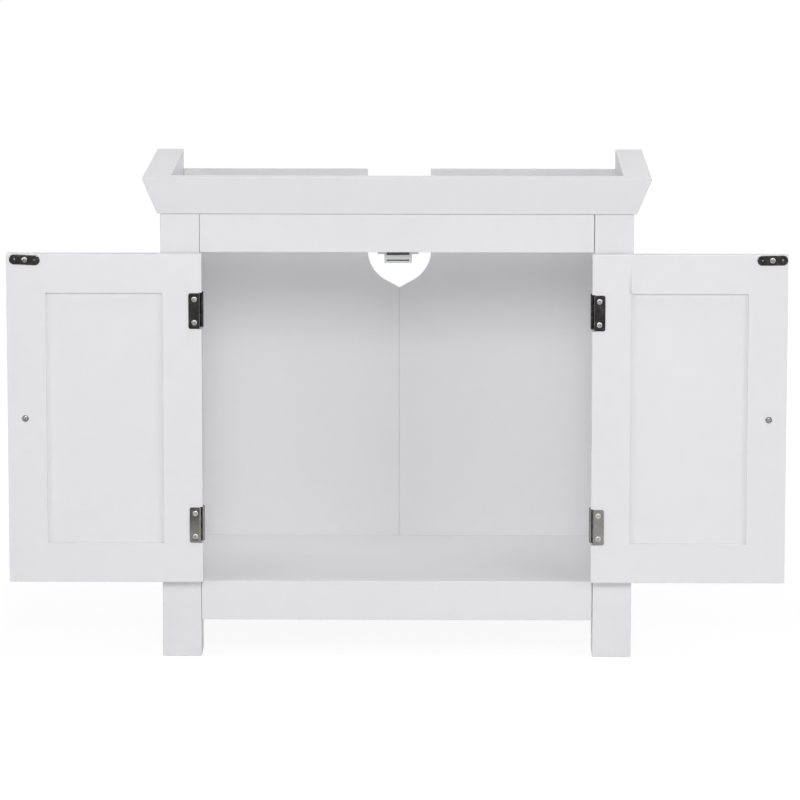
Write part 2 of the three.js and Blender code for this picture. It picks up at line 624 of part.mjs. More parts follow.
// The strike plate is centred on its screw, with its length along x and its back at height 0.
function strikePlate() {
  const end = STRIKE_HEIGHT / 2;
  const straight = STRIKE_LENGTH / 2 - end;
  const shape = new THREE.Shape();
  shape.absarc(straight, 0, end, -Math.PI / 2, Math.PI / 2, false);
  shape.absarc(-straight, 0, end, Math.PI / 2, 1.5 * Math.PI, false);
  const plate = prism(shape, "z", 0, STRIKE_THICKNESS, STRIKE_STEPS);
  const pips = [-PIP_SPACING / 2, PIP_SPACING / 2].map((x) =>
    aimed(rod(PIP_RADIUS, 0, STRIKE_THICKNESS + PIP_PROUD), UP, [x, 0, 0]),
  );
  return cut(join(plate, pips), [aimed(screwHole(STRIKE_SCREW), UP, [0, 0, STRIKE_THICKNESS])]);
}

// Stands a piece that was made about +z on a closed door, facing a direction.
function stand(mesh, direction, [x, y, z], tilt = 0) {
  mesh.quaternion.setFromUnitVectors(UP, direction);
  mesh.quaternion.premultiply(new THREE.Quaternion().setFromAxisAngle(BACKWARD, tilt));
  mesh.position.set(x, y, z);
}

function buildDoor(side, door) {
  piece(door, `door_${side}_free_stile`, freeStile(side), whitePaint);
  piece(door, `door_${side}_hinge_stile`, hingeStile(side), whitePaint);
  piece(door, `door_${side}_bottom_rail`, doorRail([doorBottom, panelLow], panelLow), whitePaint);
  piece(door, `door_${side}_top_rail`, doorRail([panelHigh, doorTop], panelHigh), whitePaint);
  piece(door, `door_${side}_panel`, doorPanel(), whitePaint);

  const plate = piece(door, `strike_plate_${side}`, strikePlate(), darkNickel);
  const tilt = THREE.MathUtils.degToRad(STRIKE_TILT[side]);
  stand(plate, BACKWARD, [strikeX(side), DOOR_THICKNESS, strikeZ(side)], tilt);
  const strikeScrew = piece(door, `strike_screw_${side}`, countersunkScrew(STRIKE_SCREW), brightSteel);
  stand(strikeScrew, BACKWARD, [strikeX(side), strikeFaceY, strikeZ(side)]);

  stand(piece(door, `knob_${side}`, knob(), satinNickel), FORWARD, [knobX, 0, knobZ]);
  const knobScrew = piece(door, `knob_screw_${side}`, panHeadScrew(KNOB_SCREW), brightSteel);
  stand(knobScrew, BACKWARD, [knobX, DOOR_THICKNESS - COUNTERBORE_DEPTH, knobZ]);
}

function buildHinges(side, group, door) {
  for (const [name, level] of Object.entries(hingeLevels(side))) {
    const label = `hinge_${side}_${name}`;
    piece(group, `${label}_frame_leaf`, frameLeaf(level), darkNickel);
    piece(group, `${label}_pin`, hingePin(level), darkNickel);
    piece(door, `${label}_door_leaf`, doorLeaf(level), darkNickel);
    for (const [place, offset] of Object.entries(screwOffsets)) {
      const screw = piece(door, `${label}_screw_${place}`, countersunkScrew(LEAF_SCREW), brightSteel);
      stand(screw, BACKWARD, [doorScrewX, leafFaceY, level + offset]);
    }
  }
}

// ---- Assembly ----
const topRailZ = [openingTop, frameTop];
const topRail = tenoned(openingHalf, [0, RAIL_THICKNESS], topRailZ, frontTenonY, topTenonZ);
const rearRailY = [backFront - REAR_RAIL_THICKNESS, backFront];
const rearRailZ = [LEG_CLEARANCE, floorUnderside];
const rearRail = tenoned(rearPostInner, rearRailY, rearRailZ, rearTenonY, bottomTenonZ);
piece(cabinet, "top_front_rail", topRail, whitePaint);
piece(cabinet, "bottom_front_rail", bottomRail(), whitePaint);
piece(cabinet, "rear_bottom_rail", rearRail, whitePaint);
piece(cabinet, "floor_board", floorBoard(), whiteBoard);
piece(cabinet, "crown_front", crownFront(), whitePaint);
buildCatch();

for (const [side, group] of Object.entries(sides)) {
  piece(group, `front_post_${side}`, frontPost(side), whitePaint);
  piece(group, `rear_post_${side}`, rearPost(), whitePaint);
  piece(group, `side_panel_${side}`, sidePanel(), whitePaint);
  piece(group, `floor_cleat_${side}`, floorCleat(), whitePaint);
  piece(group, `back_panel_${side}`, backPanel(), whiteBoard);
  piece(group, `crown_${side}`, crownSide(), whitePaint);

  // The door turns about the hinge pins. Its pieces are placed as if it were closed.
  const swing = new THREE.Group();
  swing.position.set(axisX, axisY, 0);
  swing.rotation.z = THREE.MathUtils.degToRad(OPEN_ANGLE);
  const door = new THREE.Group();
  door.position.set(-axisX, -axisY, 0);
  swing.add(door);
  group.add(swing);
  buildDoor(side, door);
  buildHinges(side, group, door);
}

export default part;
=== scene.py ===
# A free-standing sink base cabinet with two framed doors: its painted timber, its boards and its
# hardware, on a plain white floor under soft studio light. All sizes are in metres.
import json
from math import cos, pi, radians, sin

import bmesh
import bpy
from bpy.props import FloatProperty, FloatVectorProperty, IntProperty, PointerProperty
from mathutils import Matrix, Vector

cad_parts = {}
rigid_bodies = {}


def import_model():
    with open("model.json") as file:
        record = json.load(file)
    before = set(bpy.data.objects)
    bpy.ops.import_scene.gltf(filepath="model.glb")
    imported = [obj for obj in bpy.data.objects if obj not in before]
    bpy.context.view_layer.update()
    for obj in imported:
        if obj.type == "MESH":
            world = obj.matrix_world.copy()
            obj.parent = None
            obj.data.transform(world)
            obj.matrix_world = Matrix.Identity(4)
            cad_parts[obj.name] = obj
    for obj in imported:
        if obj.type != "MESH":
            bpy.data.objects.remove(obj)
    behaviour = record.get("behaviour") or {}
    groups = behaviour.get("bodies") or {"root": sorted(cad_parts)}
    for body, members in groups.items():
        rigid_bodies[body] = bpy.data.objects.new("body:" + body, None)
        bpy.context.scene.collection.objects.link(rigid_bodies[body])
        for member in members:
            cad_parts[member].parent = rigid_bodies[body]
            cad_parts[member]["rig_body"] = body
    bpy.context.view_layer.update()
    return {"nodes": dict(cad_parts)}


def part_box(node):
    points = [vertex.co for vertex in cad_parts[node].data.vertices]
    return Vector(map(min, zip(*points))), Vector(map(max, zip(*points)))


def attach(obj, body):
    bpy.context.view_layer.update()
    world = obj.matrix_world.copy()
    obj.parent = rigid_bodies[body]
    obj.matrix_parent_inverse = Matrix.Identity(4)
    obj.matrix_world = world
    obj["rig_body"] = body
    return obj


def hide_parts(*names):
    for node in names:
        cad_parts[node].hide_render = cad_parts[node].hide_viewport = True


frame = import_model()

bl_info = {
    "name": "Sink base cabinet",
    "version": (1, 0, 0),
    "blender": (4, 5, 0),
    "location": "3D View > Sidebar > Cabinet",
    "description": "Finishes the timber and hardware of a sink base cabinet and sets its stage",
    "category": "Object",
}

MM = 0.001
NEAR = 0.02 * MM  # how far a corner may lie from a plane and still count as on it
SHARP = radians(20)  # an edge between faces that differ more than this is sharp
FLAT = radians(0.5)  # faces that differ less than this are joined into one
SMOOTH = radians(32)  # edges blunter than this are shaded smooth
PRESSED = radians(50)  # edges of metal and plastic sharper than this are rounded
ROUNDING_STEPS = 3
FACING = 0.9  # how nearly a face looks along an axis, where 1 is exactly
ALONG = 0.999  # how nearly an edge runs along an axis
# The roundings' face attribute: there the paint is glossier, as if thin, and darker, which is
# painted shade.
WORN_AND_SHADED = "worn"  # the face attribute of the roundings
TIP = 0.1 * MM  # radius left where a turned shape comes to a point
SCREW_SIDES = 40
SMALL_SIDES = 24  # round a pin, a pip or a screw's recess
DOOR_SCREW_TURNS = (20, 37)  # degrees: the first cross's turn, and from each screw to the next
FRAME_SCREW_TURNS = (65, 31)
EAR_SCREW_TURN = 25
CORNER_STEPS = 8  # round a leaf's corner, or its wrap round the door
CURL = radians(285)  # how far a knuckle is rolled round its pin
CURL_STEPS = 20
AIM = (0, 0, 0.3)  # what the lamps point at
SIDES = {"right": 1, "left": -1}
LEVELS = ("upper", "lower")


def size(name, description, default):
    """A length that a user may change."""
    return FloatProperty(name=name, description=description, default=default, min=0, unit="LENGTH")


def angle(name, description, default):
    """An angle that a user may change."""
    return FloatProperty(name=name, description=description, default=default, unit="ROTATION")


def watts(name, description, default):
    """A lamp's power that a user may change."""
    return FloatProperty(name=name, description=description, default=default, min=0, unit="POWER")


def colour(name, description, grey):
    """A colour that a user may change, as linear red, green and blue."""
    return FloatVectorProperty(
        name=name, description=description, default=grey, size=3, min=0, max=1, subtype="COLOR"
    )


class TimberSettings(bpy.types.PropertyGroup):
    """How far the edges of the painted pieces are softened."""

    post: size("Post edges", "Rounding of the posts' long edges and feet", 1.0 * MM)
    rail: size("Rail edges", "Rounding of the rails' long edges", 0.7 * MM)
    crown: size("Crown edges", "Rounding of the crown's long edges", 0.6 * MM)
    door: size("Door edges", "Rounding round the outside of each door", 0.9 * MM)
    sticking: size("Panel surround", "Rounding of the frame's edge beside a panel", 0.2 * MM)
    board: size("Board edges", "Rounding of the back, side and floor boards", 0.3 * MM)
    seam: size("Back seam", "Rounding of the back's two halves where they meet", 0.9 * MM)
    cleat: size("Cleat edges", "Rounding of the floor's cleats", 0.8 * MM)


class HardwareSettings(bpy.types.PropertyGroup):
    """Sizes of the pressed, rolled and turned metal."""

    leaf: size("Leaf thickness", "Sheet that the hinge leaves are pressed from", 1.2 * MM)
    leaf_corner: size("Leaf corner", "Radius of a leaf's two free corners", 2.5 * MM)
    leaf_bend: size("Leaf bend", "Inner radius where a door leaf wraps round the door", 0.5 * MM)
    strap_step: size("Strap step", "How far a door leaf's strap stands off its barrel", 0.8 * MM)
    barrel: size("Barrel radius", "Outside of the rolled knuckles", 2.3 * MM)
    knuckles: IntProperty(name="Knuckles", description="Along each hinge", default=6, min=2)
    knuckle_gap: size("Knuckle gap", "Between one knuckle and the next", 0.3 * MM)
    edge: size("Pressed edge", "Rounding left on pressed edges", 0.35 * MM)
    screw_head: size("Screw head", "Radius of the countersunk heads", 3.3 * MM)
    screw_rise: size("Screw rise", "Height of the cone under a countersunk head", 1.1 * MM)
    screw_shank: size("Screw shank", "Radius over the thread", 1.4 * MM)
    screw_length: size("Screw length", "Of the countersunk screws", 12 * MM)
    knob_screw_rise: size("Knob screw head", "Height of the pan head", 2.6 * MM)
    knob_screw_shank: size("Knob screw shank", "Radius over the thread", 2 * MM)
    recess: size("Cross recess", "Width of an arm of the cross in a screw's head", 1.1 * MM)
    strike_length: size("Strike length", "Along a strike plate", 38 * MM)
    strike_height: size("Strike height", "Across a strike plate", 12.9 * MM)
    pip: size("Strike pip", "Radius of the two pips on a strike plate", 1.0 * MM)
    pip_spacing: size("Pip spacing", "Between the two pips on a strike plate", 24.6 * MM)
    left_tilt: angle("Left strike tilt", "Its outer end upwards", radians(2.5))
    right_tilt: angle("Right strike tilt", "Its outer end upwards", radians(0.6))
    catch_width: size("Catch width", "Of the catch's box under its ears", 33.7 * MM)
    catch_web: size("Catch web", "Plastic in front of the magnet", 1.5 * MM)
    catch_roof: size("Catch roof", "Plastic over the hollow", 1.6 * MM)
    catch_ear: size("Catch ear", "Thickness of the catch's ears", 4.5 * MM)
    catch_edge: size("Catch edge", "Rounding of the catch's box", 0.5 * MM)
    ear_screw_length: size("Ear screw length", "Before its head is scaled down", 9 * MM)
    ear_screw_head: size("Ear screw head", "Radius of the screws in the ears", 2.4 * MM)


class FinishSettings(bpy.types.PropertyGroup):
    """Colours of the finishes."""

    paint: colour("Paint", "Satin white on posts, rails, crown and doors", (0.764, 0.758, 0.778))
    board: colour("Board", "White facing of the floor and back", (0.745, 0.741, 0.752))
    nickel: colour("Dark nickel", "Plating of the hinges and strike plates", (0.28, 0.271, 0.267))
    steel: colour("Steel", "Bright screws", (0.52, 0.515, 0.51))
    satin: colour("Satin nickel", "Brushed plating of the knobs", (0.46, 0.45, 0.43))
    plastic: colour("Plastic", "Pale body of the catch", (0.58, 0.59, 0.59))
    ferrite: colour("Ferrite", "The catch's magnet", (0.035, 0.035, 0.038))


class StageSettings(bpy.types.PropertyGroup):
    """The camera and the lamps."""

    distance: size("Camera distance", "From the camera to what it looks at", 6.042)
    elevation: angle("Elevation", "Camera above the horizon", radians(9.22))
    turn: angle("Turn", "Camera round to the left", radians(0.55))
    roll: angle("Roll", "Camera about its own axis", radians(0.03))
    target: FloatVectorProperty(
        name="Target",
        description="What it looks at",
        default=(0.0038, -0.144, 0.3232),
        size=3,
        unit="LENGTH",
    )
    lens: FloatProperty(
        name="Lens", description="Focal length in millimetres", default=220.5, min=1
    )
    front: watts("Front lamp", "In the softbox in front", 47)
    low: watts("Low lamp", "In the low strip in front", 25)
    left: watts("Left lamp", "In the softbox to the left", 18)
    right: watts("Right lamp", "In the softbox to the right", 19.5)
    high_left: watts("High left lamp", "In the softbox above on the left", 8.5)
    high_right: watts("High right lamp", "In the softbox above on the right", 15)
    top: watts("Top lamp", "In the softbox overhead", 23)
    back_left: watts("Back left lamp", "In the softbox behind on the left", 9)
    back_right: watts("Back right lamp", "In the softbox behind on the right", 13)
    arch_near: size("Arch inside", "Inner radius of the arch of dark floor in front", 1.45)
    arch_far: size("Arch outside", "Its outer radius", 9.0)
    arch_offset: size("Arch offset", "Its centre to the right of the cabinet's middle", 0.7)
    arch_glow: FloatProperty(
        name="Arch glow", description="Light from the dark floor", default=0.1, min=0
    )


# ---- Working on a mesh ----
def alone(obj):
    """Leaves one object selected and active."""
    bpy.ops.object.select_all(action="DESELECT")
    obj.select_set(True)
    bpy.context.view_layer.objects.active = obj


def edit(obj):
    alone(obj)
    bpy.ops.object.mode_set(mode="EDIT")


def done():
    bpy.ops.object.mode_set(mode="OBJECT")


def pick(kind, test):
    """Selects the edges or faces that pass a test, in edit mode, and counts them."""
    bpy.ops.mesh.select_mode(type=kind)
    bpy.ops.mesh.select_all(action="DESELECT")
    data = bpy.context.edit_object.data
    shape = bmesh.from_edit_mesh(data)
    shape.normal_update()
    found = [item for item in (shape.edges if kind == "EDGE" else shape.faces) if test(item)]
    for item in found:
        item.select_set(True)
    shape.select_flush_mode()
    bmesh.update_edit_mesh(data)
    return len(found)


def middle(item):
    """The middle of an edge or a face."""
    return sum((corner.co for corner in item.verts), Vector()) / len(item.verts)


def sharp(edge):
    return len(edge.link_faces) == 2 and edge.calc_face_angle() > SHARP


def along(edge, axis):
    """Whether an edge runs along an axis, where 0, 1 and 2 are x, y and z."""
    run = edge.verts[0].co - edge.verts[1].co
    return abs(run[axis]) > ALONG * run.length


def mark_worn_and_shaded():
    """Marks the selected faces, so that the paint there is glossier, as if thin, and darker, which
    is painted shade.
    """
    data = bpy.context.edit_object.data
    shape = bmesh.from_edit_mesh(data)
    layers = shape.faces.layers.float
    layer = layers.get(WORN_AND_SHADED) or layers.new(WORN_AND_SHADED)
    for face in shape.faces:
        if face.select:
            face[layer] = 1.0
    bmesh.update_edit_mesh(data)


def cut_at(levels):
    """Cuts the faces of the piece being edited at some heights, and leaves it whole."""
    for level in levels:
        bpy.ops.mesh.select_all(action="SELECT")
        bpy.ops.mesh.bisect(plane_co=(0, 0, level), plane_no=(0, 0, 1))


def soften(test, width):
    """Rounds the edges that pass a test, and marks the rounding for thin paint and painted shade.
    """
    if not pick("EDGE", test):
        return
    bpy.ops.mesh.bevel(
        offset=width, segments=ROUNDING_STEPS, affect="EDGES", clamp_overlap=True
    )
    mark_worn_and_shaded()


def smooth(obj):
    """Smooth shading across the roundings, with flat faces left flat."""
    alone(obj)
    bpy.ops.object.shade_smooth_by_angle(angle=SMOOTH)
    bpy.ops.object.modifier_add(type="WEIGHTED_NORMAL")
    obj.modifiers[-1].keep_sharp = True
    bpy.ops.object.modifier_apply(modifier=obj.modifiers[-1].name)


def combine(obj, other, operation):
    """Uses up another shape on a piece: a DIFFERENCE takes it out, a UNION joins it on."""
    alone(obj)
    bpy.ops.object.modifier_add(type="BOOLEAN")
    modifier = obj.modifiers[-1]
    modifier.operation = operation
    modifier.solver = "EXACT"
    modifier.object = other
    bpy.ops.object.modifier_apply(modifier=modifier.name)
    bpy.data.objects.remove(other)


def cut_by(obj, tool):
    combine(obj, tool, "DIFFERENCE")


def placed(master, name, matrix):
    """A copy of a piece with its own mesh, moved by a matrix that may mirror it."""
    copy = bpy.data.objects.new(name, master.data.copy())
    bpy.context.scene.collection.objects.link(copy)
    copy.data.transform(matrix)
    if matrix.is_negative:
        copy.data.flip_normals()
    return copy


def settle(obj, node, finish):
    """Gives a piece its finish, and lets it stand for a node and ride on the node's body."""
    obj.data.materials.clear()
    obj.data.materials.append(finish)
    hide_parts(node)
    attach(obj, frame["nodes"][node]["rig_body"])


# ---- Finishes ----
class Finish:
    """A material, and a short way to add nodes to it."""

    def __init__(self, name):
        self.material = bpy.data.materials.new(name)
        self.material.use_nodes = True
        self.tree = self.material.node_tree
        self.surface = self.tree.nodes["Principled BSDF"]
        self.place = self.add("ShaderNodeTexCoord").outputs["Object"]

    def add(self, kind, inputs=None, **settings):
        node = self.tree.nodes.new(kind)
        for key, value in settings.items():
            setattr(node, key, value)
        for key, value in (inputs or {}).items():
            self.put(node.inputs[key], value)
        return node

    def put(self, socket, value):
        if isinstance(value, bpy.types.NodeSocket):
            self.tree.links.new(value, socket)
        else:
            socket.default_value = value

    def noise(self, scale, detail, stretch=(1, 1, 1), rough=0.5):
        """Cloudy noise, so many cycles to the metre along each axis."""
        mapped = self.add("ShaderNodeMapping", {"Vector": self.place, "Scale": stretch})
        inputs = {"Vector": mapped.outputs[0], "Scale": scale, "Detail": detail, "Roughness": rough}
        return self.add("ShaderNodeTexNoise", inputs).outputs["Fac"]

    def spread(self, value, low, high, start=0.3, end=0.7):
        """Stretches the middle of a noise between two values."""
        names = ("Value", "From Min", "From Max", "To Min", "To Max")
        inputs = dict(zip(names, (value, start, end, low, high)))
        return self.add("ShaderNodeMapRange", inputs).outputs["Result"]

    def math(self, operation, first, second):
        return self.add("ShaderNodeMath", {0: first, 1: second}, operation=operation).outputs[0]

    def sum(self, first, second):
        return self.math("ADD", first, second)

    def product(self, first, second):
        return self.math("MULTIPLY", first, second)

    def coat(self, base, share, roughness):
        """Gives the surface a base colour, made lighter or darker by a share, and a roughness."""
        inputs = {"Color": (*base, 1.0), "Value": share}
        tinted = self.add("ShaderNodeHueSaturation", inputs).outputs["Color"]
        self.put(self.surface.inputs["Base Color"], tinted)
        self.put(self.surface.inputs["Roughness"], roughness)

    def bumps(self, *layers):
        """Bumps from (height, depth) pairs, each depth in metres."""
        normal = None
        for height, depth in layers:
            inputs = {"Height": height, "Distance": depth, "Strength": 1.0}
            if normal is not None:
                inputs["Normal"] = normal
            normal = self.add("ShaderNodeBump", inputs).outputs["Normal"]
        self.put(self.surface.inputs["Normal"], normal)

    def worn(self):
        """Up to 1 on the rounded edges, broken up by noise, and 0 elsewhere: where the paint is
        thin and glossier, and darkened as painted shade.
        """
        worn = self.add("ShaderNodeAttribute", attribute_name=WORN_AND_SHADED).outputs["Fac"]
        patches = self.noise(90, detail=3)
        return self.product(worn, self.spread(patches, 0.0, 1.0, start=0.35, end=0.65))


def paint(name, base, roughness, peel):
    """Sprayed satin paint: broadly uneven, with a fine orange peel of a depth in metres, and
    thin and glossier over the edges, which are also darkened a little as painted shade."""
    finish = Finish(name)
    cloud, fine, worn = finish.noise(5, detail=3), finish.noise(60, detail=4), finish.worn()
    share = finish.sum(finish.spread(cloud, 0.985, 1.005), finish.spread(fine, -0.006, 0.006))
    # The rounded edges are made a little darker: painted shade along the edges.
    share = finish.sum(share, finish.product(worn, -0.03))
    gloss = finish.spread(fine, roughness - 0.04, roughness + 0.05)
    gloss = finish.sum(gloss, finish.spread(cloud, -0.03, 0.03))
    gloss = finish.sum(gloss, finish.product(worn, -0.08))
    finish.coat(base, share, gloss)
    peels, ripples = finish.noise(650, detail=2), finish.noise(45, detail=2)
    finish.bumps((peels, peel), (ripples, peel * 2.5))
    return finish.material


def plating(name, base, low, high, stretch, depth):
    """Plated metal: a roughness that varies from low to high, and fine scratches, drawn out
    along the axes where the stretch is small."""
    finish = Finish(name)
    cloud = finish.noise(160, detail=3)
    scratches = finish.noise(2600, detail=3, stretch=stretch, rough=0.6)
    share = finish.sum(finish.spread(cloud, 0.82, 1.12), finish.spread(scratches, -0.05, 0.05))
    finish.surface.inputs["Metallic"].default_value = 1.0
    gloss = finish.sum(finish.spread(cloud, low, high), finish.spread(scratches, -0.03, 0.03))
    finish.coat(base, share, gloss)
    finish.bumps((cloud, depth * 4), (scratches, depth))
    return finish.material


def moulding(name, base, roughness, grain):
    """Moulded or sintered stuff: an even colour with a fine grain of a depth in metres."""
    finish = Finish(name)
    cloud, fine = finish.noise(120, detail=3), finish.noise(3200, detail=2)
    share = finish.sum(finish.spread(cloud, 0.96, 1.02), finish.spread(fine, -0.02, 0.02))
    gloss = finish.spread(fine, roughness - 0.05, roughness + 0.08)
    finish.coat(base, share, gloss)
    finish.bumps((fine, grain), (cloud, grain * 3))
    return finish.material


def finish_for(context, slot):
    """The finish of a slot, made once and kept by name."""
    chosen, scratch = context.scene.cabinet_finish, 0.002 * MM
    upright, round_knob, even = (1, 1, 0.04), (1, 0.04, 1), (1, 1, 1)
    makers = {
        "white_paint": (paint, chosen.paint, 0.4, 0.006 * MM),
        "white_board": (paint, chosen.board, 0.5, 0.002 * MM),
        "dark_nickel": (plating, chosen.nickel, 0.09, 0.18, upright, scratch),
        "bright_steel": (plating, chosen.steel, 0.28, 0.4, even, scratch),
        "satin_nickel": (plating, chosen.satin, 0.26, 0.36, round_knob, scratch),
        "pale_plastic": (moulding, chosen.plastic, 0.42, 0.006 * MM),
        "ferrite": (moulding, chosen.ferrite, 0.65, 0.02 * MM),
    }
    name = f"finished_{slot}"
    make, *qualities = makers[slot]
    return bpy.data.materials.get(name) or make(name, *qualities)


# ---- Timber and boards ----
def merged(node, prefix):
    """A copy of a node's mesh with its triangles joined into whole faces."""
    obj = bpy.data.objects.new(f"{prefix}_{node}", frame["nodes"][node].data.copy())
    bpy.context.scene.collection.objects.link(obj)
    edit(obj)
    bpy.ops.mesh.customdata_custom_splitnormals_clear()
    bpy.ops.mesh.select_all(action="SELECT")
    bpy.ops.mesh.remove_doubles(threshold=NEAR / 2)
    bpy.ops.mesh.dissolve_limited(angle_limit=FLAT)
    done()
    return obj


def arris(node, *leave):
    """A test for the long edges and ends of a node's blank: they lie on two faces of its box. The
    faces named in leave, such as (2, 1) for the top, keep their edges."""
    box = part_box(node)
    faces = [(axis, end) for axis in range(3) for end in (0, 1)]

    def test(edge):
        point = middle(edge)
        on = {(axis, end) for axis, end in faces if abs(point[axis] - box[end][axis]) < NEAR}
        return len(on) == 2 and not on & set(leave) and sharp(edge)

    return test


def dress(context, node, rules, prefix="painted", slot="white_paint", levels=()):
    """Stands a softened copy for a timber node. Its faces are cut at some heights first. Each
    rule is a test for edges and a width."""
    obj = merged(node, prefix)
    edit(obj)
    cut_at(levels)
    for test, width in rules:
        soften(test, width)
    done()
    smooth(obj)
    settle(obj, node, finish_for(context, slot))


class CABINET_OT_posts(bpy.types.Operator):
    """Finish the four posts"""

    bl_idname = "cabinet.posts"
    bl_label = "Posts"

    def execute(self, context):
        width = context.scene.cabinet_timber.post
        for side in SIDES:
            for node in (f"front_post_{side}", f"rear_post_{side}"):
                dress(context, node, [(arris(node, (2, 1)), width)])
        return {"FINISHED"}


class CABINET_OT_rails(bpy.types.Operator):
    """Finish the rails between the posts"""

    bl_idname = "cabinet.rails"
    bl_label = "Rails"

    def execute(self, context):
        width = context.scene.cabinet_timber.rail
        top, ends = (2, 1), ((0, 0), (0, 1))
        dress(context, "top_front_rail", [(arris("top_front_rail", top, *ends), width)])
        for node in ("bottom_front_rail", "rear_bottom_rail"):
            dress(context, node, [(arris(node, *ends), width)])
        return {"FINISHED"}


class CABINET_OT_crown(bpy.types.Operator):
    """Finish the mitred crown"""

    bl_idname = "cabinet.crown"
    bl_label = "Crown"

    def execute(self, context):
        width = context.scene.cabinet_timber.crown
        dress(context, "crown_front", [(lambda edge: sharp(edge) and along(edge, 0), width)])
        for side in SIDES:
            node = f"crown_{side}"
            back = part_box(node)[1].y

            def test(edge, back=back):
                return sharp(edge) and (along(edge, 1) or abs(middle(edge).y - back) < NEAR)

            dress(context, node, [(test, width)])
        return {"FINISHED"}


class CABINET_OT_boards(bpy.types.Operator):
    """Finish the floor, the back, the sides and the floor's cleats"""

    bl_idname = "cabinet.boards"
    bl_label = "Boards"

    def execute(self, context):
        timber = context.scene.cabinet_timber
        edges = [(arris("floor_board", (2, 0)), timber.board)]
        dress(context, "floor_board", edges, "faced", "white_board")
        for side in SIDES:
            self.dress_back(context, f"back_panel_{side}")
            node = f"side_panel_{side}"
            dress(context, node, [(arris(node, (2, 1)), timber.board)])
            node = f"floor_cleat_{side}"
            dress(context, node, [(arris(node), timber.cleat)])
        return {"FINISHED"}

    def dress_back(self, context, node):
        """The two halves are rounded more where they meet, which leaves a groove up the middle."""
        timber = context.scene.cabinet_timber
        meeting = min((corner.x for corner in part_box(node)), key=abs)

        def seam(edge):
            return sharp(edge) and along(edge, 2) and abs(middle(edge).x - meeting) < NEAR

        def others(edge):
            return sharp(edge) and not seam(edge)

        edges = [(others, timber.board), (seam, timber.seam)]
        dress(context, node, edges, "faced", "white_board")


class CABINET_OT_doors(bpy.types.Operator):
    """Finish the stiles, rails and panels of both doors"""

    bl_idname = "cabinet.doors"
    bl_label = "Doors"

    def execute(self, context):
        timber = context.scene.cabinet_timber
        for side, sign in SIDES.items():
            door = f"door_{side}"
            low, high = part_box(f"{door}_bottom_rail")[1].z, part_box(f"{door}_top_rail")[0].z
            # Open, a door's free edge is the outer one.
            for stile, inner in (("free_stile", sign < 0), ("hinge_stile", sign > 0)):
                self.dress_stile(context, f"{door}_{stile}", int(inner), low, high)
            for rail, inner in (("bottom_rail", 1), ("top_rail", 0)):
                node = f"{door}_{rail}"
                outside = arris(node, (2, inner), (0, 0), (0, 1))
                inside = arris(node, (2, 1 - inner), (0, 0), (0, 1))
                dress(context, node, [(outside, timber.door), (inside, timber.sticking)])
            dress(context, f"{door}_panel", [])
        return {"FINISHED"}

    def dress_stile(self, context, node, inner, low, high):
        """The inner edges are softened only beside the panel, so that the joints stay crisp."""
        timber = context.scene.cabinet_timber
        inside = arris(node, (0, 1 - inner), (2, 0), (2, 1))

        def beside(edge):
            return inside(edge) and low < middle(edge).z < high

        rules = [(arris(node, (0, inner)), timber.door), (beside, timber.sticking)]
        dress(context, node, rules, levels=(low, high))


# ---- Shapes to start from ----
def started(name):
    """Names the primitive just added, puts its place in its mesh and opens it in edit mode."""
    obj = bpy.context.object
    obj.name = name
    bpy.ops.object.transform_apply()
    bpy.ops.object.mode_set(mode="EDIT")
    return obj


def block(name, low, high):
    """A box between two corners, in edit mode."""
    bpy.ops.object.select_all(action="DESELECT")
    low, high = Vector(low), Vector(high)
    bpy.ops.mesh.primitive_cube_add(size=1, location=(low + high) / 2, scale=high - low)
    return started(name)


def turned(name, profile, vertices):
    """A shape turned about the z axis: a disc drawn out ring by ring along (radius, height)
    pairs."""
    bpy.ops.object.select_all(action="DESELECT")
    (radius, height), *rings = profile
    bpy.ops.mesh.primitive_circle_add(
        vertices=vertices, radius=radius, fill_type="NGON", location=(0, 0, height)
    )
    obj = started(name)
    bpy.ops.mesh.select_all(action="SELECT")
    for ring, level in rings:
        draw_out(0, 0, level - height)
        share = ring / radius
        bpy.ops.transform.resize(value=(share, share, 1), center_override=(0, 0, level))
        radius, height = ring, level
    outward()
    done()
    return obj


def draw_out(x, y, z):
    """Extrudes the selected faces by a step."""
    bpy.ops.mesh.extrude_region_move(TRANSFORM_OT_translate={"value": (x, y, z)})


def sweep(angle, centre, steps):
    """Extrudes the selected faces anticlockwise about an upright axis, seen from above."""
    bpy.ops.mesh.spin(steps=steps, angle=-angle, center=centre, axis=(0, 0, 1))


def outward():
    """Merges what meets, and points every face outwards."""
    bpy.ops.mesh.select_all(action="SELECT")
    bpy.ops.mesh.remove_doubles(threshold=NEAR / 10)
    bpy.ops.mesh.normals_make_consistent(inside=False)


def round_edges(obj, width):
    """Rounds the edges of a metal or plastic piece."""
    alone(obj)
    bpy.ops.object.modifier_add(type="BEVEL")
    bevel = obj.modifiers[-1]
    bevel.width = width
    bevel.segments = ROUNDING_STEPS
    bevel.limit_method = "ANGLE"
    bevel.angle_limit = PRESSED
    bpy.ops.object.modifier_apply(modifier=bevel.name)


def turn(axis, degrees):
    return Matrix.Rotation(radians(degrees), 4, axis)


MIRROR = {"right": Matrix(), "left": Matrix.Scale(-1, 4, (1, 0, 0))}
TO_FRONT = turn("X", 90)  # stands a piece that was made about +z towards the camera
TO_BACK = turn("X", -90)
TO_LEFT = turn("Y", -90)


def fit(context, master, name, matrix, node, body, slot):
    """Puts a copy of a metal or plastic master in its place, finished."""
    obj = placed(master, name, matrix)
    smooth(obj)
    obj.data.materials.append(finish_for(context, slot))
    if node:
        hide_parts(node)
    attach(obj, body)


def right_hand(node, side):
    """A node's box as it is, or would be, on the right-hand side."""
    low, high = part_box(node)
    if SIDES[side] < 0:
        low, high = Vector((-high.x, low.y, low.z)), Vector((-low.x, high.y, high.z))
    return low, high


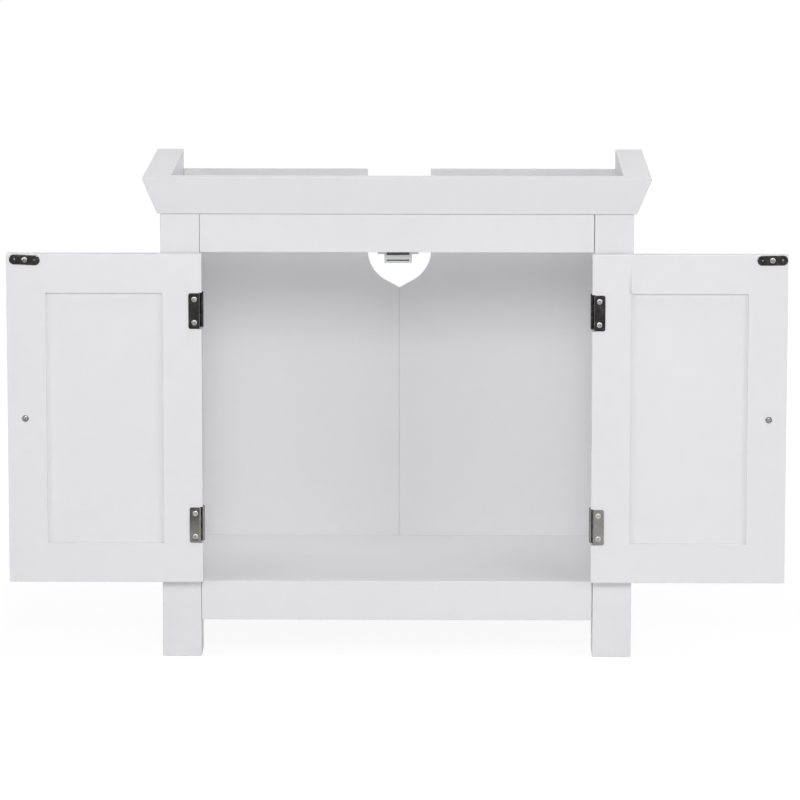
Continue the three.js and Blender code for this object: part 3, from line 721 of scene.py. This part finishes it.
def front_middle(node, side):
    """The middle of the front of a node's box, as it is, or would be, on the right-hand side."""
    low, high = right_hand(node, side)
    return Vector(((low.x + high.x) / 2, low.y, (low.z + high.z) / 2))


# ---- Screws ----
def cross_recess(screw, top, width, reach, depth):
    """Cuts a tapered cross and a cone in its middle into a screw's head."""
    rings = [(TIP, top - depth), (width, top - depth / 4), (width, top + depth)]
    cone = turned("cone", rings, SMALL_SIDES)
    cut_by(screw, cone)
    for degrees in (0, 90):
        arm = block("arm", (-reach, -width / 2, top - depth), (reach, width / 2, top + depth))
        pick("FACE", lambda face: face.normal.z < -FACING)
        bpy.ops.transform.resize(value=(0.5, 0.7, 1), center_override=(0, 0, 0))
        done()
        arm.data.transform(turn("Z", degrees))
        cut_by(screw, arm)


def countersunk_screw(hardware, length):
    """A countersunk screw with a slightly raised head. Its rim is at height 0."""
    head, shank, rise = hardware.screw_head, hardware.screw_shank, hardware.screw_rise
    crest, depth = 0.37 * MM, 1.7 * MM
    rings = [
        (TIP, -length),
        (shank, 2 * shank - length),
        (shank, -rise),
        (head - 0.08 * MM, -0.1 * MM),
        (head, 0),
        (head - 0.1 * MM, 0.1 * MM),
        (head * 0.8, 0.24 * MM),
        (head * 0.5, 0.33 * MM),
        (head * 0.1, crest),
    ]
    screw = turned("screw", rings, SCREW_SIDES)
    cross_recess(screw, crest, hardware.recess, head * 0.66, depth)
    return screw


def pan_head_screw(hardware, head, length):
    """A pan-headed screw. The head's crest is at height 0."""
    rise, shank = hardware.knob_screw_rise, hardware.knob_screw_shank
    depth, sides = 1.8 * MM, 48
    rings = [
        (TIP, -length),
        (shank * 0.8, 0.4 * MM - length),
        (shank, 1.2 * MM - length),
        (shank, -rise),
        (head * 0.97, -rise),
        (head, -rise + 0.15 * MM),
        (head, -rise * 0.6),
        (head * 0.93, -rise * 0.33),
        (head * 0.76, -rise * 0.12),
        (head * 0.5, -0.02 * MM),
        (head * 0.1, 0),
    ]
    screw = turned("pan_screw", rings, sides)
    cross_recess(screw, 0, hardware.recess * 1.2, head * 0.6, depth)
    return screw


def countersink(hardware, piece, place, facing):
    """Takes the seat of a countersunk screw out of a pressed piece."""
    room = 0.15 * MM
    head, shank = hardware.screw_head + room, hardware.screw_shank + room
    rings = [(shank, -3 * MM), (shank, -hardware.screw_rise), (head, 0), (head * 1.02, 0.5 * MM)]
    tool = turned("seat", rings, SCREW_SIDES)
    tool.data.transform(Matrix.Translation(place) @ facing)
    cut_by(piece, tool)


class CABINET_OT_screws(bpy.types.Operator):
    """Finish the screws in the doors' hardware"""

    bl_idname = "cabinet.screws"
    bl_label = "Screws"

    def execute(self, context):
        hardware = context.scene.cabinet_hardware
        leaf_screw = countersunk_screw(hardware, hardware.screw_length)
        low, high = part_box("knob_screw_right")
        pan_screw = pan_head_screw(hardware, (high.x - low.x) / 2, high.y - low.y)
        angle, step = DOOR_SCREW_TURNS
        for side in SIDES:
            names = [f"hinge_{side}_{level}_screw" for level in LEVELS]
            names = [f"{name}_{place}" for name in names for place in ("high", "low")]
            for node in (*names, f"strike_screw_{side}"):
                self.drive(context, leaf_screw, node, side, angle)
                angle += step
            self.drive(context, pan_screw, f"knob_screw_{side}", side, angle)
        for master in (leaf_screw, pan_screw):
            bpy.data.objects.remove(master)
        return {"FINISHED"}

    def drive(self, context, master, node, side, angle):
        place = Matrix.Translation(front_middle(node, side))
        matrix = MIRROR[side] @ place @ TO_FRONT @ turn("Z", angle)
        fit(context, master, f"driven_{node}", matrix, node, f"door_{side}", "bright_steel")


# ---- Hinges ----
class CABINET_OT_hinges(bpy.types.Operator):
    """Finish the leaves, the knuckles and the pins of the four hinges"""

    bl_idname = "cabinet.hinges"
    bl_label = "Hinges"

    def execute(self, context):
        hardware = context.scene.cabinet_hardware
        self.measure()
        door_leaf = self.door_leaf(hardware)
        frame_leaf = self.frame_leaf(hardware)
        pin = self.pin()
        screw = countersunk_screw(hardware, hardware.screw_length)
        angle, step = FRAME_SCREW_TURNS
        for side in SIDES:
            for level in LEVELS:
                name = f"hinge_{side}_{level}"
                low, high = right_hand(f"{name}_pin", side)
                matrix = MIRROR[side] @ Matrix.Translation((low + high) / 2)
                node = f"{name}_door_leaf"
                door = f"door_{side}"
                fit(context, door_leaf, f"pressed_{node}", matrix, node, door, "dark_nickel")
                # The frame's screws stand for the same node as the leaf that they hold.
                held = f"{name}_frame_leaf"
                fit(context, frame_leaf, f"pressed_{held}", matrix, held, "carcass", "dark_nickel")
                node = f"{name}_pin"
                fit(context, pin, f"turned_{node}", matrix, node, "carcass", "dark_nickel")
                for place, height in (("high", self.screw_z), ("low", -self.screw_z)):
                    seat = Matrix.Translation((self.frame_face, self.frame_screw_y, height))
                    stand = matrix @ seat @ TO_LEFT @ turn("Z", angle)
                    label = f"driven_{name}_frame_screw_{place}"
                    fit(context, screw, label, stand, held, "carcass", "bright_steel")
                    angle += step
        for master in (door_leaf, frame_leaf, pin, screw):
            bpy.data.objects.remove(master)
        return {"FINISHED"}

    def measure(self):
        """Places on the right upper hinge, seen from the middle of its pin."""
        low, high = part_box("hinge_right_upper_pin")
        middle_of_pin = (low + high) / 2
        self.pin_radius, self.pin_reach = (high.x - low.x) / 2, (high.z - low.z) / 2
        low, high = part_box("hinge_right_upper_door_leaf")
        self.half = (high.z - low.z) / 2
        self.door_end = high.x - middle_of_pin.x
        self.door_face = low.y - middle_of_pin.y
        self.frame_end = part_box("hinge_right_upper_frame_leaf")[1].y - middle_of_pin.y
        self.post_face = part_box("front_post_right")[0].x - middle_of_pin.x
        low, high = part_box("hinge_right_upper_screw_high")
        self.screw_z = (low.z + high.z) / 2 - middle_of_pin.z
        self.screw_x = (low.x + high.x) / 2 - middle_of_pin.x
        self.frame_screw_y = self.frame_end - (self.door_end - self.screw_x)

    def spans(self, hardware, owner):
        """From where to where along the pin each of a leaf's knuckles runs. Owner is 0 for the
        door leaf and 1 for the frame leaf."""
        pitch = 2 * self.half / hardware.knuckles
        gap = hardware.knuckle_gap / 2
        starts = [index * pitch - self.half for index in range(owner, hardware.knuckles, 2)]
        return [(start + gap, start + pitch - gap) for start in starts]

    def curl(self, spans, start, sense):
        """Parts a leaf's end into tabs, draws them out to the pin and rolls them round it."""
        cut_at(level for span in spans for level in span)

        def tab(face):
            point = middle(face)
            return (
                face.normal.y * sense > FACING
                and abs(point.y - start) < NEAR
                and any(low < point.z < high for low, high in spans)
            )

        pick("FACE", tab)
        draw_out(0, -start, 0)
        sweep(sense * CURL, (0, 0, 0), CURL_STEPS)
        outward()
        bpy.ops.mesh.dissolve_limited(angle_limit=FLAT)

    def door_leaf(self, hardware):
        """A plate on the door's inner face, wrapped round its edge and rolled round the pin."""
        sheet, bend, radius = hardware.leaf, hardware.leaf_bend, hardware.barrel
        strap = radius + hardware.strap_step
        back = self.door_face + sheet
        low = (strap + bend, self.door_face, -self.half)
        leaf = block("leaf", low, (self.door_end, back, self.half))
        pick("EDGE", lambda edge: along(edge, 1) and abs(middle(edge).x - self.door_end) < NEAR)
        bpy.ops.mesh.bevel(offset=hardware.leaf_corner, segments=CORNER_STEPS, affect="EDGES")
        pick("FACE", lambda face: face.normal.x < -FACING)
        sweep(-pi / 2, (strap + bend, back + bend, 0), CORNER_STEPS)
        room = -(radius + 0.4 * MM)
        step_from, wrapped = room - 2 * hardware.strap_step, back + bend
        pick("FACE", lambda face: face.normal.y > FACING and abs(middle(face).y - wrapped) < NEAR)
        draw_out(0, step_from - wrapped, 0)
        draw_out(-hardware.strap_step, room - step_from, 0)
        self.curl(self.spans(hardware, 0), room, 1)
        done()
        round_edges(leaf, hardware.edge)
        for height in (self.screw_z, -self.screw_z):
            countersink(hardware, leaf, (self.screw_x, self.door_face, height), TO_FRONT)
        return leaf

    def frame_leaf(self, hardware):
        """A plate on the post, stepped a little towards the pin and rolled round it."""
        sheet, radius = hardware.leaf, hardware.barrel
        self.frame_face = self.post_face - sheet
        step_from, room = 4 * MM, radius + 0.3 * MM
        low = (self.frame_face, step_from, -self.half)
        leaf = block("leaf", low, (self.post_face, self.frame_end, self.half))
        pick("EDGE", lambda edge: along(edge, 0) and abs(middle(edge).y - self.frame_end) < NEAR)
        bpy.ops.mesh.bevel(offset=hardware.leaf_corner, segments=CORNER_STEPS, affect="EDGES")
        pick("FACE", lambda face: face.normal.y < -FACING)
        draw_out(radius - self.post_face, room - step_from, 0)
        self.curl(self.spans(hardware, 1), room, -1)
        done()
        round_edges(leaf, hardware.edge)
        for height in (self.screw_z, -self.screw_z):
            place = (self.frame_face, self.frame_screw_y, height)
            countersink(hardware, leaf, place, TO_LEFT)
        return leaf

    def pin(self):
        """A pin with rounded ends, a little slimmer than its hole."""
        radius, reach = self.pin_radius - 0.05 * MM, self.pin_reach
        half = [
            (radius, reach - 0.5 * MM),
            (radius * 0.8, reach - 0.15 * MM),
            (radius * 0.3, reach),
        ]
        rings = [(ring, -level) for ring, level in reversed(half)] + half
        return turned("pin", rings, SMALL_SIDES)


# ---- Strike plates ----
class CABINET_OT_strikes(bpy.types.Operator):
    """Finish the two strike plates"""

    bl_idname = "cabinet.strikes"
    bl_label = "Strike plates"

    def execute(self, context):
        hardware = context.scene.cabinet_hardware
        master = self.plate(hardware)
        for side, tilt in (("right", hardware.right_tilt), ("left", hardware.left_tilt)):
            node, place = f"strike_plate_{side}", front_middle(f"strike_screw_{side}", side)
            place.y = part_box(node)[1].y
            stand = Matrix.Translation(place) @ Matrix.Rotation(-tilt, 4, "Y")
            matrix = MIRROR[side] @ stand @ TO_FRONT
            fit(context, master, f"pressed_{node}", matrix, node, f"door_{side}", "dark_nickel")
        bpy.data.objects.remove(master)
        return {"FINISHED"}

    def plate(self, hardware):
        """A plate with rounded ends, two pips and a countersunk hole, with its back at height 0."""
        half, end = hardware.strike_length / 2, hardware.strike_height / 2
        sheet, radius, proud = hardware.leaf, hardware.pip, 0.3 * MM
        plate = block("plate", (-half, -end, 0), (half, end, sheet))
        pick("EDGE", lambda edge: along(edge, 2))
        corner, steps = end * 0.98, 14
        bpy.ops.mesh.bevel(offset=corner, segments=steps, affect="EDGES")
        pick("EDGE", lambda edge: sharp(edge) and abs(middle(edge).z - sheet) < NEAR)
        bpy.ops.mesh.bevel(offset=2 * hardware.edge, segments=ROUNDING_STEPS, affect="EDGES")
        done()
        rings = [
            (radius, sheet - proud),
            (radius, sheet),
            (radius * 0.86, sheet + proud * 0.55),
            (radius * 0.55, sheet + proud * 0.9),
            (radius * 0.15, sheet + proud),
        ]
        for x in (-hardware.pip_spacing / 2, hardware.pip_spacing / 2):
            pip = turned("pip", rings, SMALL_SIDES)
            pip.data.transform(Matrix.Translation((x, 0, 0)))
            combine(plate, pip, "UNION")
        countersink(hardware, plate, (0, 0, sheet), Matrix())
        return plate


# ---- Knobs ----
class CABINET_OT_knobs(bpy.types.Operator):
    """Finish the two knobs"""

    bl_idname = "cabinet.knobs"
    bl_label = "Knobs"

    def execute(self, context):
        low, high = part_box("knob_right")
        master = self.knob((high.x - low.x) / 2, high.y - low.y)
        for side in SIDES:
            node = f"knob_{side}"
            matrix = MIRROR[side] @ Matrix.Translation(front_middle(node, side)) @ TO_BACK
            fit(context, master, f"turned_{node}", matrix, node, f"door_{side}", "satin_nickel")
        bpy.data.objects.remove(master)
        return {"FINISHED"}

    def knob(self, radius, length):
        """A foot, a waisted neck and a domed head with a fine groove round its rim."""
        foot, neck, under = 0.57 * radius, 0.39 * radius, radius - 0.4 * MM
        waist, rim = 0.36 * length, 0.68 * length
        rings = [
            (foot - 0.3 * MM, 0),
            (foot, 0.3 * MM),
            (foot, 1.6 * MM),
            (foot - 0.4 * MM, 2 * MM),
            (neck + 0.9 * MM, 2.4 * MM),
            (neck + 0.25 * MM, 3.2 * MM),
            (neck, 4.5 * MM),
        ]
        steps, sides = 14, 64
        for step in range(steps + 1):
            share = step / steps
            flare, climb = share**3, 1 - (1 - share) ** 2
            rings.append((neck + (under - neck) * flare, waist + (rim - waist) * climb))
        groove, dome_start = radius - 0.45 * MM, rim + 1.6 * MM
        rings += [
            (radius, rim + 0.5 * MM),
            (radius - 0.1 * MM, rim + 1.1 * MM),
            (groove, rim + 1.3 * MM),
        ]
        dome = length - dome_start
        for step in range(1, steps + 1):
            angle = step / steps * pi / 2
            rings.append((groove * max(cos(angle), 0.03), dome_start + dome * sin(angle)))
        return turned("knob", rings, sides)


# ---- Catch ----
class CABINET_OT_catch(bpy.types.Operator):
    """Finish the magnetic catch under the top rail"""

    bl_idname = "cabinet.catch"
    bl_label = "Catch"

    def execute(self, context):
        hardware = context.scene.cabinet_hardware
        self.housing(context, hardware)
        for node, slot in (
            ("catch_pole_lower", "dark_nickel"),
            ("catch_pole_upper", "dark_nickel"),
            ("catch_magnet", "ferrite"),
        ):
            bar = block("bar", *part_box(node))
            outward()
            done()
            round_edges(bar, hardware.edge)
            fit(context, bar, f"pressed_{node}", Matrix(), node, "carcass", slot)
            bpy.data.objects.remove(bar)
        return {"FINISHED"}

    def housing(self, context, hardware):
        """A moulded box with an ear at each side, slots for the pole plates and a hollow behind
        them."""
        low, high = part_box("catch_housing")
        pole_low, pole_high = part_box("catch_pole_lower")
        upper_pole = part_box("catch_pole_upper")[0].z
        centre, ear, room = (low.x + high.x) / 2, high.z - hardware.catch_ear, 0.3 * MM
        waist = hardware.catch_width / 2
        body = block("housing", (centre - waist, low.y, low.z), (centre + waist, high.y, high.z))
        cut_at([ear])
        for sense in (1, -1):
            pick("FACE", lambda face: face.normal.x * sense > FACING and middle(face).z > ear)
            draw_out(sense * ((high.x - low.x) / 2 - waist), 0, 0)
        outward()
        done()
        round_edges(body, hardware.catch_edge)
        left, right = pole_low.x - room, pole_high.x + room
        front, web_back, back = pole_low.y, low.y + hardware.catch_web, pole_high.y + room
        bottom, top = pole_low.z - room / 3, high.z - hardware.catch_roof
        for y0, y1, z0, z1 in (
            (front, web_back, bottom, pole_high.z + room),
            (front, web_back, upper_pole - room, top),
            (web_back, back, bottom, top),
        ):
            slot = block("slot", (left, y0, z0), (right, y1, z1))
            done()
            cut_by(body, slot)
        screw = countersunk_screw(hardware, hardware.ear_screw_length)
        screw.data.transform(Matrix.Scale(hardware.ear_screw_head / hardware.screw_head, 4))
        depth, seat = (low.y + high.y) / 2, ear + 0.3 * MM
        mouth, bore, through, sides = 2.5 * MM, 1.8 * MM, 1 * MM, 32
        rings = [(mouth, ear - through), (mouth, seat)]
        rings += [(bore, seat + 0.6 * MM), (bore, high.z + through)]
        reach = (waist + (high.x - low.x) / 2) / 2
        for name, x in (("right", centre + reach), ("left", centre - reach)):
            hole = turned("hole", rings, sides)
            hole.data.transform(Matrix.Translation((x, depth, 0)))
            cut_by(body, hole)
            stand = Matrix.Translation((x, depth, seat)) @ turn("X", 180)
            matrix = stand @ turn("Z", EAR_SCREW_TURN)
            fit(context, screw, f"catch_screw_{name}", matrix, None, "carcass", "bright_steel")
        node = "catch_housing"
        fit(context, body, f"moulded_{node}", Matrix(), node, "carcass", "pale_plastic")
        for master in (body, screw):
            bpy.data.objects.remove(master)


# ---- Stage ----
def area_lamp(name, power, width, height, distance, azimuth, elevation):
    """A softbox at a distance and in a direction, in degrees, from what it is aimed at. Azimuth 0
    is in front and 90 to the right."""
    across, up = radians(azimuth), radians(elevation)
    away = Vector((sin(across) * cos(up), -cos(across) * cos(up), sin(up)))
    data = bpy.data.lights.new(name, "AREA")
    data.shape, data.size, data.size_y, data.energy = "RECTANGLE", width, height, power
    lamp = bpy.data.objects.new(name, data)
    bpy.context.scene.collection.objects.link(lamp)
    lamp.location = Vector(AIM) + away * distance
    lamp.rotation_euler = (-away).to_track_quat("-Z", "Y").to_euler()
    return lamp


class CABINET_OT_stage(bpy.types.Operator):
    """Set the floor, the lamps, the sky and the camera"""

    bl_idname = "cabinet.stage"
    bl_label = "Stage"

    def execute(self, context):
        stage = context.scene.cabinet_stage
        self.lay_floor()
        self.lay_arch(stage)
        self.hang_sky(context)
        self.hang_lamps(stage)
        self.set_camera(context, stage)
        context.scene.view_settings.view_transform = "Standard"
        return {"FINISHED"}

    def lay_floor(self):
        bpy.ops.object.select_all(action="DESELECT")
        bpy.ops.mesh.primitive_plane_add(size=60)
        floor = bpy.context.object
        floor.name = "studio_floor"
        floor.data.materials.append(self.floor_finish())

    def lay_arch(self, stage):
        """Dark floor far out in front, which only reflections show, so that metal looks dark."""
        far = stage.arch_far
        bpy.ops.object.select_all(action="DESELECT")
        place = (stage.arch_offset, 0, 2 * MM)
        bpy.ops.mesh.primitive_circle_add(
            vertices=64, radius=far, fill_type="NGON", location=place
        )
        arch = bpy.context.object
        arch.name = "dark_arch"
        edit(arch)
        bpy.ops.mesh.select_all(action="SELECT")
        bpy.ops.mesh.inset(thickness=far - stage.arch_near, depth=0)
        bpy.ops.mesh.delete(type="FACE")
        bpy.ops.mesh.select_all(action="SELECT")
        bpy.ops.mesh.bisect(plane_co=(0, 0, 0), plane_no=(0, 1, 0), clear_outer=True)
        done()
        finish = Finish("dark_arch")
        finish.tree.nodes.remove(finish.surface)
        glow = finish.add("ShaderNodeEmission", {"Strength": stage.arch_glow})
        finish.put(finish.tree.nodes["Material Output"].inputs["Surface"], glow.outputs[0])
        arch.data.materials.append(finish.material)
        arch.visible_camera = arch.visible_diffuse = False
        arch.visible_transmission = arch.visible_shadow = False

    def floor_finish(self):
        """White to the camera and in reflections, apart from the cabinet's shadow, and plain pale
        grey to every other ray."""
        finish = Finish("studio_floor")
        finish.tree.nodes.remove(finish.surface)
        paths = finish.add("ShaderNodeLightPath").outputs
        seen = finish.sum(paths["Is Camera Ray"], paths["Is Glossy Ray"])
        seen = finish.sum(seen, paths["Is Transmission Ray"])
        plain = finish.add("ShaderNodeBsdfDiffuse", {"Color": (0.8, 0.8, 0.8, 1)})
        shade = finish.add("ShaderNodeBsdfDiffuse", {"Color": (0.12, 0.12, 0.12, 1)})
        away = finish.add("ShaderNodeVectorMath", {0: finish.place}, operation="LENGTH")
        glowing = finish.spread(away.outputs["Value"], 0.92, 1.0, start=0.5, end=1.6)
        glow = finish.add("ShaderNodeEmission", {"Strength": glowing})
        white = finish.add("ShaderNodeAddShader", {0: shade.outputs[0], 1: glow.outputs[0]})
        shaders = {0: seen, 1: plain.outputs[0], 2: white.outputs[0]}
        mix = finish.add("ShaderNodeMixShader", shaders)
        finish.put(finish.tree.nodes["Material Output"].inputs["Surface"], mix.outputs[0])
        return finish.material

    def hang_sky(self, context):
        """White to the camera, in reflections and through glass, and dark to everything else."""
        world = bpy.data.worlds.new("studio_sky")
        world.use_nodes = True
        context.scene.world = world
        tree = world.node_tree
        light = tree.nodes["Background"]
        light.inputs["Color"].default_value = (1, 1, 1, 1)
        paths = tree.nodes.new("ShaderNodeLightPath").outputs
        seen = paths["Is Camera Ray"]
        for kind in ("Is Glossy Ray", "Is Transmission Ray"):
            add = tree.nodes.new("ShaderNodeMath")
            tree.links.new(seen, add.inputs[0])
            tree.links.new(paths[kind], add.inputs[1])
            seen = add.outputs[0]
        tree.links.new(seen, light.inputs["Strength"])

    def hang_lamps(self, stage):
        """Pairs at the sides, high up and behind, and single lamps in front and overhead."""
        pairs = (
            ("", 1.2, 1.8, 3.2, 48, 18),
            ("high_", 1.4, 1.4, 3.0, 85, 60),
            ("back_", 1.4, 1.4, 3.2, 125, 12),
        )
        for side, sign in SIDES.items():
            for prefix, width, height, distance, azimuth, elevation in pairs:
                name, power = f"{prefix}{side}_softbox", getattr(stage, f"{prefix}{side}")
                area_lamp(name, power, width, height, distance, azimuth * sign, elevation)
        area_lamp("front_softbox", stage.front, 0.9, 0.9, 4.0, 0, 24)
        area_lamp("low_strip", stage.low, 2.4, 0.8, 4.5, 0, 3).visible_glossy = False
        area_lamp("top_softbox", stage.top, 2.0, 2.0, 2.6, 0, 82)

    def set_camera(self, context, stage):
        turn, tilt = stage.turn, stage.elevation
        forward = Vector((-sin(turn) * cos(tilt), cos(turn) * cos(tilt), -sin(tilt)))
        data = bpy.data.cameras.new("camera")
        camera = bpy.data.objects.new("camera", data)
        context.scene.collection.objects.link(camera)
        camera.location = Vector(stage.target) - forward * stage.distance
        facing = forward.to_track_quat("-Z", "Y").to_matrix().to_4x4()
        camera.rotation_euler = (facing @ Matrix.Rotation(stage.roll, 4, "Z")).to_euler()
        data.sensor_width = 36
        data.lens = stage.lens
        data.clip_end = 100
        context.scene.camera = camera


OPERATORS = (
    CABINET_OT_posts,
    CABINET_OT_rails,
    CABINET_OT_crown,
    CABINET_OT_boards,
    CABINET_OT_doors,
    CABINET_OT_screws,
    CABINET_OT_hinges,
    CABINET_OT_strikes,
    CABINET_OT_knobs,
    CABINET_OT_catch,
    CABINET_OT_stage,
)
SETTINGS = {
    "cabinet_timber": TimberSettings,
    "cabinet_hardware": HardwareSettings,
    "cabinet_finish": FinishSettings,
    "cabinet_stage": StageSettings,
}


class CABINET_PT_panel(bpy.types.Panel):
    """Lists the settings and the operators"""

    bl_idname = "CABINET_PT_panel"
    bl_label = "Sink base cabinet"
    bl_space_type = "VIEW_3D"
    bl_region_type = "UI"
    bl_category = "Cabinet"

    def draw(self, context):
        for name, group in SETTINGS.items():
            box = self.layout.box()
            box.label(text=group.__name__)
            for key in group.__annotations__:
                box.prop(getattr(context.scene, name), key)
        for operator in OPERATORS:
            self.layout.operator(operator.bl_idname)


def register():
    for cls in (*SETTINGS.values(), *OPERATORS, CABINET_PT_panel):
        bpy.utils.register_class(cls)
    for name, group in SETTINGS.items():
        setattr(bpy.types.Scene, name, PointerProperty(type=group))


def unregister():
    for name in SETTINGS:
        delattr(bpy.types.Scene, name)
    for cls in (CABINET_PT_panel, *reversed(OPERATORS), *reversed(SETTINGS.values())):
        bpy.utils.unregister_class(cls)


def main():
    register()
    for operator in OPERATORS:
        category, name = operator.bl_idname.split(".")
        getattr(getattr(bpy.ops, category), name)()


if __name__ == "__main__":
    main()
